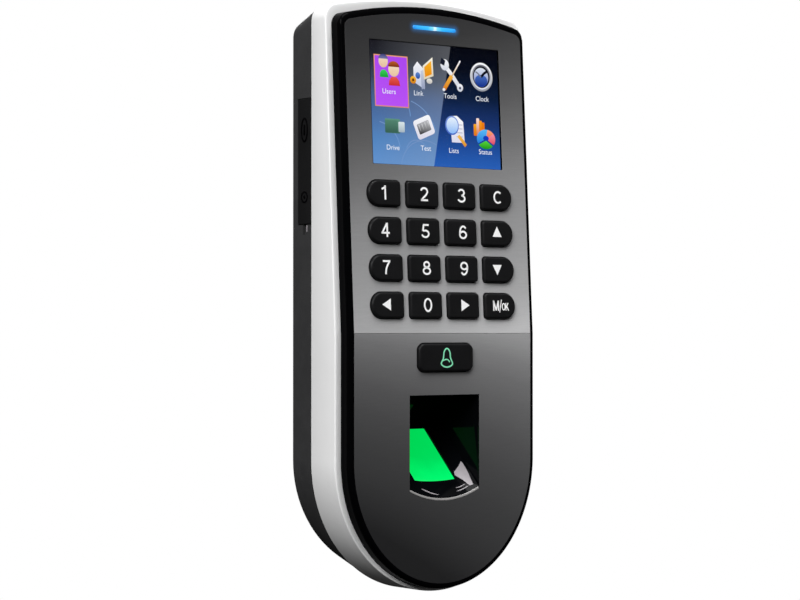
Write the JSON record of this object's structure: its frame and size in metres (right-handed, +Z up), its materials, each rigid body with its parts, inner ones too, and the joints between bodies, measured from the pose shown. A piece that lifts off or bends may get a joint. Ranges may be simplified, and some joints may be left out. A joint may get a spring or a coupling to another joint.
{
  "type": "fingerprint scanner terminal",
  "caption": "Wall-mounted access terminal with a tilted color screen, a keypad, a bell key and a slanted fingerprint window in a rounded two-tone housing.",
  "frame": {"origin": "middle of the wall plate's wall face, half way up the housing", "axes": "+Z up, +Y into the wall, +X to the right as seen by someone facing the screen"},
  "size_m": [0.074, 0.027, 0.1764],
  "materials": {
    "plated_steel": "zinc-plated sheet",
    "dark_cover": "fine spark-eroded texture",
    "white_frame": "satin white",
    "black_gloss": "polished black",
    "pearl_gray": "fine pearl paint, darker towards the top and bottom",
    "screen_glass": "polished cover lens",
    "blue_light": "lit light bar",
    "black_rubber": "soft matt rubber",
    "black_screws": "black oxide",
    "bright_screws": "nickel-plated",
    "key_black": "satin black caps",
    "pad_rubber": "silicone",
    "circuit_green": "solder mask",
    "gold_pads": "gold-plated pads",
    "lcd_glass": "display glass",
    "lcd_case": "white backlight case",
    "flex_amber": "polyimide film",
    "recess_black": "polished black",
    "green_platen": "coated glass prism, lit green",
    "sensor_black": "black moulding",
    "sensor_light": "light strips",
    "ribbon_white": "ribbon cable",
    "chip_black": "moulded package",
    "capacitor_blue": "sleeved can",
    "relay_blue": "moulded case",
    "header_ivory": "nylon",
    "socket_steel": "bright tin",
    "button_white": "moulded",
    "speaker_black": "moulded frame"
  },
  "bodies": {
    "housing": {"wall_plate": "plated_steel", "rear_cover": "dark_cover", "mid_frame": "white_frame", "front_cover": "black_gloss", "upper_panel": "pearl_gray", "lower_panel": "pearl_gray", "screen_window": "screen_glass", "led_window": "blue_light", "casing_screws": "black_screws", "security_screw": "bright_screws", "keypad_mat": "pad_rubber", "keypad_board": "circuit_green", "key_contacts": "gold_pads", "bell_mat": "pad_rubber", "bell_board": "circuit_green", "lcd_panel": "lcd_glass", "lcd_frame": "lcd_case", "lcd_flex": "flex_amber", "led_board": "circuit_green", "sensor_bezel": "recess_black", "sensor_prism": "green_platen", "sensor_housing": "sensor_black", "sensor_board": "circuit_green", "sensor_lens": "sensor_black", "sensor_leds": "sensor_light", "sensor_cable": "ribbon_white", "main_board": "circuit_green", "main_chips": "chip_black", "capacitors": "capacitor_blue", "relay": "relay_blue", "terminal_headers": "header_ivory", "usb_socket": "socket_steel", "reset_switch": "chip_black", "speaker": "speaker_black", "clock_battery": "socket_steel", "battery_holder": "header_ivory", "tamper_switch": "chip_black", "board_link": "ribbon_white", "board_screws": "bright_screws"},
    "key_1": {"key_1": "key_black"},
    "key_2": {"key_2": "key_black"},
    "key_3": {"key_3": "key_black"},
    "key_clear": {"key_clear": "key_black"},
    "key_4": {"key_4": "key_black"},
    "key_5": {"key_5": "key_black"},
    "key_6": {"key_6": "key_black"},
    "key_up": {"key_up": "key_black"},
    "key_7": {"key_7": "key_black"},
    "key_8": {"key_8": "key_black"},
    "key_9": {"key_9": "key_black"},
    "key_down": {"key_down": "key_black"},
    "key_left": {"key_left": "key_black"},
    "key_0": {"key_0": "key_black"},
    "key_right": {"key_right": "key_black"},
    "key_ok": {"key_ok": "key_black"},
    "key_bell": {"key_bell": "key_black"},
    "port_plug": {"port_plug": "black_rubber"},
    "reset_button": {"reset_button": "button_white"},
    "tamper_plunger": {"tamper_plunger": "button_white"}
  },
  "joints": [
    {"name": "key_1_press", "type": "slide", "parent": "housing", "child": "key_1", "axis": [0, 0.9985, -0.0541], "range_m": [0, 0.0009], "stiffness_N_per_m": 800, "springref_m": -0.0006},
    {"name": "key_2_press", "type": "slide", "parent": "housing", "child": "key_2", "axis": [0, 0.9985, -0.0541], "range_m": [0, 0.0009], "stiffness_N_per_m": 800, "springref_m": -0.0006},
    {"name": "key_3_press", "type": "slide", "parent": "housing", "child": "key_3", "axis": [0, 0.9985, -0.0541], "range_m": [0, 0.0009], "stiffness_N_per_m": 800, "springref_m": -0.0006},
    {"name": "key_clear_press", "type": "slide", "parent": "housing", "child": "key_clear", "axis": [0, 0.9985, -0.0541], "range_m": [0, 0.0009], "stiffness_N_per_m": 800, "springref_m": -0.0006},
    {"name": "key_4_press", "type": "slide", "parent": "housing", "child": "key_4", "axis": [0, 0.9985, -0.0541], "range_m": [0, 0.0009], "stiffness_N_per_m": 800, "springref_m": -0.0006},
    {"name": "key_5_press", "type": "slide", "parent": "housing", "child": "key_5", "axis": [0, 0.9985, -0.0541], "range_m": [0, 0.0009], "stiffness_N_per_m": 800, "springref_m": -0.0006},
    {"name": "key_6_press", "type": "slide", "parent": "housing", "child": "key_6", "axis": [0, 0.9985, -0.0541], "range_m": [0, 0.0009], "stiffness_N_per_m": 800, "springref_m": -0.0006},
    {"name": "key_up_press", "type": "slide", "parent": "housing", "child": "key_up", "axis": [0, 0.9985, -0.0541], "range_m": [0, 0.0009], "stiffness_N_per_m": 800, "springref_m": -0.0006},
    {"name": "key_7_press", "type": "slide", "parent": "housing", "child": "key_7", "axis": [0, 0.9985, -0.0541], "range_m": [0, 0.0009], "stiffness_N_per_m": 800, "springref_m": -0.0006},
    {"name": "key_8_press", "type": "slide", "parent": "housing", "child": "key_8", "axis": [0, 0.9985, -0.0541], "range_m": [0, 0.0009], "stiffness_N_per_m": 800, "springref_m": -0.0006},
    {"name": "key_9_press", "type": "slide", "parent": "housing", "child": "key_9", "axis": [0, 0.9985, -0.0541], "range_m": [0, 0.0009], "stiffness_N_per_m": 800, "springref_m": -0.0006},
    {"name": "key_down_press", "type": "slide", "parent": "housing", "child": "key_down", "axis": [0, 0.9985, -0.0541], "range_m": [0, 0.0009], "stiffness_N_per_m": 800, "springref_m": -0.0006},
    {"name": "key_left_press", "type": "slide", "parent": "housing", "child": "key_left", "axis": [0, 0.9985, -0.0541], "range_m": [0, 0.0009], "stiffness_N_per_m": 800, "springref_m": -0.0006},
    {"name": "key_0_press", "type": "slide", "parent": "housing", "child": "key_0", "axis": [0, 0.9985, -0.0541], "range_m": [0, 0.0009], "stiffness_N_per_m": 800, "springref_m": -0.0006},
    {"name": "key_right_press", "type": "slide", "parent": "housing", "child": "key_right", "axis": [0, 0.9985, -0.0541], "range_m": [0, 0.0009], "stiffness_N_per_m": 800, "springref_m": -0.0006},
    {"name": "key_ok_press", "type": "slide", "parent": "housing", "child": "key_ok", "axis": [0, 0.9985, -0.0541], "range_m": [0, 0.0009], "stiffness_N_per_m": 800, "springref_m": -0.0006},
    {"name": "key_bell_press", "type": "slide", "parent": "housing", "child": "key_bell", "axis": [0, 1, 0], "range_m": [0, 0.0009], "stiffness_N_per_m": 800, "springref_m": -0.0006},
    {"name": "port_plug_swing", "type": "hinge", "parent": "housing", "child": "port_plug", "pos_m": [-0.0368, -0.006, 0.0578], "axis": [0, 1, 0], "range_deg": [0, 110]},
    {"name": "reset_press", "type": "slide", "parent": "housing", "child": "reset_button", "axis": [1, 0, 0], "range_m": [0, 0.0003], "stiffness_N_per_m": 2000, "springref_m": -0.0002},
    {"name": "tamper_press", "type": "slide", "parent": "housing", "child": "tamper_plunger", "axis": [0, -1, 0], "range_m": [0, 0.0004], "stiffness_N_per_m": 1000, "springref_m": -0.0006}
  ]
}
